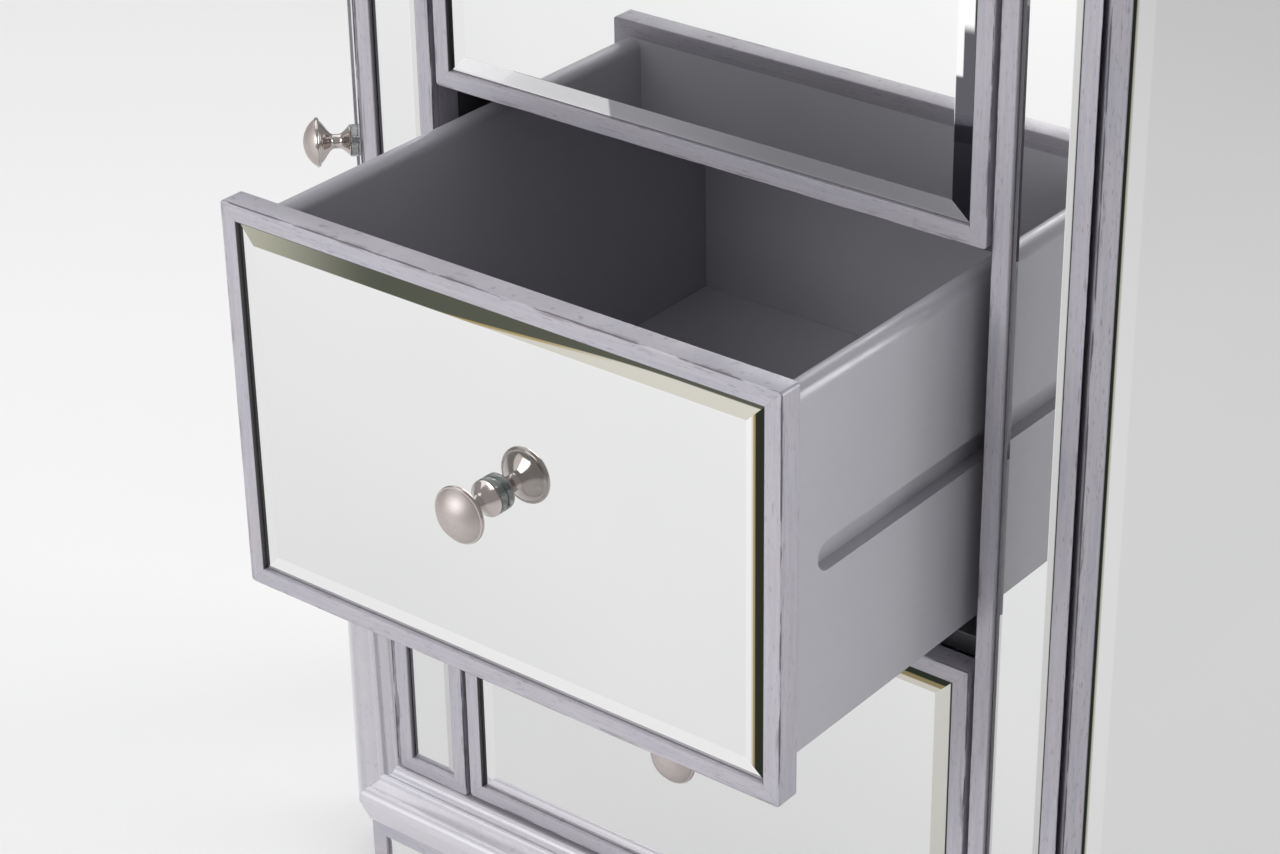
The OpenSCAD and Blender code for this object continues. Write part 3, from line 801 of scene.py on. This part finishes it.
def washer_profile():
    """A clear washer with eased edges, as a closed loop round the stud."""
    inner, outer, ease = STUD_R + 0.2 * MM, WASHER_R, 0.5 * MM
    loop = [(inner, 0.0), (inner, WASHER_T - 0.05 * MM), (outer - ease, WASHER_T - 0.05 * MM)]
    loop += arc(outer - ease, WASHER_T - 0.05 * MM - ease, ease, 80, 0, 4)
    loop += arc(outer - ease, ease, ease, 0, -90, 4)
    return loop + [loop[0]]


def stud_profile():
    """A threaded stud from its end in the backing board to its tip in the knob."""
    low, core = -STUD_DEEP, STUD_R - 0.35 * MM
    points = [(0.0, low), (core, low)]
    for k in range(int((STUD_REACH - low) / THREAD)):
        points += [(core, low + k * THREAD), (STUD_R, low + (k + 0.5) * THREAD)]
    return points + [(core, STUD_REACH), (0.0, STUD_REACH)]


def make_knob(name, body, foot, outward):
    """Lathed knob with its washer and stud. foot is where the axis meets the mirror."""
    outward = Vector(outward)
    place = Matrix.Translation(foot) @ outward.to_track_quat("Z", "X").to_matrix().to_4x4()
    metal = satin_nickel("nickel_" + name, foot, outward)
    new_piece(name + "_turned", *lathe(knob_profile(), 72, place), metal, body, "satin_nickel", name)
    fixings = name + "_fixings"
    new_piece(name + "_washer", *lathe(washer_profile(), 48, place), CLEAR, body, "black_plastic", fixings)
    new_piece(name + "_stud", *lathe(stud_profile(), 24, place), ZINC, body, "zinc_steel", fixings)


for which in DRAWERS:
    face = drawer_face(which)
    make_knob(which + "_drawer_knob", which + "_drawer", drawer_knob_foot(face), face.outward)
for which, side in DOORS:
    face = door_face(which, side)
    make_knob(which + "_door_knob", which + "_door", door_knob_foot(which, side, face), face.outward)


def make_moulding(node, section, level):
    """Mitred moulding round the front: each length is its own closed solid. section is in mm."""
    rings = [outline(out * MM) for out, _ in section]
    heights = [level + up * MM for _, up in section]
    count = len(section)
    parts = []
    for length in range(5):
        ends = [[Vector((*rings[k][end], heights[k])) for k in range(count)]
                for end in (length, length + 1)]
        run = (ends[1][0] - ends[0][0]).normalized() * KERF / 2
        if length > 0:
            ends[0] = [p + run for p in ends[0]]
        if length < 4:
            ends[1] = [p - run for p in ends[1]]
        faces = [list(reversed(range(count))), [count + k for k in range(count)]]
        faces += [[k, (k + 1) % count, count + (k + 1) % count, count + k] for k in range(count)]
        parts.append((ends[0] + ends[1], faces))
    new_piece(node + "_lengths", *joined(parts), SILVER_MOULDING, "cabinet", "silver_paint", node)


# Sections of the mouldings in millimetres, as (out from the body's faces, up from the level given)
base_section = (
    [(0, 0), (2, 0)] + arc(8, 1, 6, 190, 255, 10) + arc(9.6, -5, 2.2, 160, 25, 12)
    + [(12.4, -6)] + arc(18, -15.5, 7, 95, -25, 24) + [(21, -27), (19, -32), (0, -32)]
)
top_section = (
    [(0, 0), (3, 0)] + arc(14, 0, 9, 170, 95, 14) + [(14.5, 11)]
    + arc(18, 18.5, 7, -60, 90, 26) + [(-12, 25.5), (-12, 20), (0, 20)]
)
make_moulding("base_moulding", base_section, MOULDING_TOP)
make_moulding("top_moulding", top_section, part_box("top_moulding")[0][2])


def make_top_mirror():
    """The top's mirror, with a ground bevel all round."""
    low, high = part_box("top_mirror")
    edge, back = -TOP_LIP - GLASS_GAP, high.y
    levels = ((edge, 0.0, low.z), (edge, 0.0, high.z - BEVEL_DEPTH), (edge - BEVEL, BEVEL, high.z))
    points, faces = [], []
    for out, pull, z in levels:
        corners = outline(out)
        corners[0] = (corners[0][0], back - pull)
        corners[-1] = (corners[-1][0], back - pull)
        points += [Vector((x, y, z)) for x, y in corners]
    for k in range(6):
        after = (k + 1) % 6
        faces.append([k, after, 6 + after, 6 + k])
        faces.append([6 + k, 6 + after, 12 + after, 12 + k])
    faces += [list(range(6)), list(range(12, 18))]
    new_piece("top_mirror_glass", points, faces, looking_glass("glass_top", None), "cabinet",
              "mirror_glass", "top_mirror", crease=3.0)


make_top_mirror()


# ---------------------------------------------------------------- studio and camera


SKY_WHITE = 0.45
FLOOR_REACH = 14.0
# name, place, aim, width and height, power in watts
LIGHTS = (
    ("overhead_left", (-1.7, 0.7, 3.2), (-0.6, -0.1, 0.0), (3.2, 3.2), 40),
    ("front_left", (-2.2, -2.7, 1.9), (0, -0.2, 0.5), (2.2, 2.0), 16),
    ("front", (-0.7, -3.2, 2.0), (0, -0.2, 0.5), (1.8, 1.6), 52),
    ("back_right", (2.1, 1.9, 1.1), (0.1, -0.2, 0.5), (1.8, 1.6), 42),
)
CAMERA_AT = Vector((0.8983, FRONT_Y - 1.1598, MOULDING_TOP + 1.1002))
CAMERA_YAW = 38.906
CAMERA_PITCH = 28.365
CAMERA_ROLL = -0.9865
CAMERA_LENS = 89.944


def studio(reach, white):
    """A wide pale floor under an evenly white sky."""
    corners = [(-reach, -reach, 0), (reach, -reach, 0), (reach, reach, 0), (-reach, reach, 0)]
    mesh = bpy.data.meshes.new("floor")
    mesh.from_pydata(corners, [], [(0, 1, 2, 3)])
    floor = bpy.data.objects.new("floor", mesh)
    bpy.context.scene.collection.objects.link(floor)
    graph = Graph("pale_floor")
    cloud = graph.noise(graph.place, 0.8, 2.0)
    graph.set(base_color=graph.mix(cloud, FLOOR_WHITE, FLOOR_WHITER), roughness=0.7)
    mesh.materials.append(graph.material)
    world = bpy.data.worlds.new("studio")
    world.use_nodes = True
    background = world.node_tree.nodes["Background"]
    background.inputs["Color"].default_value = rgb(1.0, 1.0, 1.0)
    background.inputs["Strength"].default_value = white
    bpy.context.scene.world = world


def soft_light(name, at, aim, size, power):
    data = bpy.data.lights.new(name, "AREA")
    data.shape = "RECTANGLE"
    data.size, data.size_y = size
    data.energy = power
    lamp = bpy.data.objects.new(name, data)
    lamp.location = at
    lamp.rotation_mode = "QUATERNION"
    lamp.rotation_quaternion = (Vector(aim) - Vector(at)).to_track_quat("-Z", "Y")
    bpy.context.scene.collection.objects.link(lamp)


def camera(at, yaw, pitch, roll, lens):
    """A camera turned by yaw to its left of +Y, tilted down by pitch and rolled, all in degrees."""
    yaw, pitch, roll = map(math.radians, (yaw, pitch, roll))
    forward = Vector((-math.sin(yaw) * math.cos(pitch), math.cos(yaw) * math.cos(pitch), -math.sin(pitch)))
    level_right = Vector((math.cos(yaw), math.sin(yaw), 0))
    level_up = level_right.cross(forward)
    right = level_right * math.cos(roll) + level_up * math.sin(roll)
    up = level_up * math.cos(roll) - level_right * math.sin(roll)
    data = bpy.data.cameras.new("camera")
    data.lens = lens
    data.sensor_width = 36.0
    made = bpy.data.objects.new("camera", data)
    made.matrix_world = Matrix.Translation(at) @ Matrix((right, up, -forward)).transposed().to_4x4()
    bpy.context.scene.collection.objects.link(made)
    bpy.context.scene.camera = made


studio(FLOOR_REACH, SKY_WHITE)
for light in LIGHTS:
    soft_light(*light)
camera(CAMERA_AT, CAMERA_YAW, CAMERA_PITCH, CAMERA_ROLL, CAMERA_LENS)
bpy.context.scene.view_settings.view_transform = "Standard"
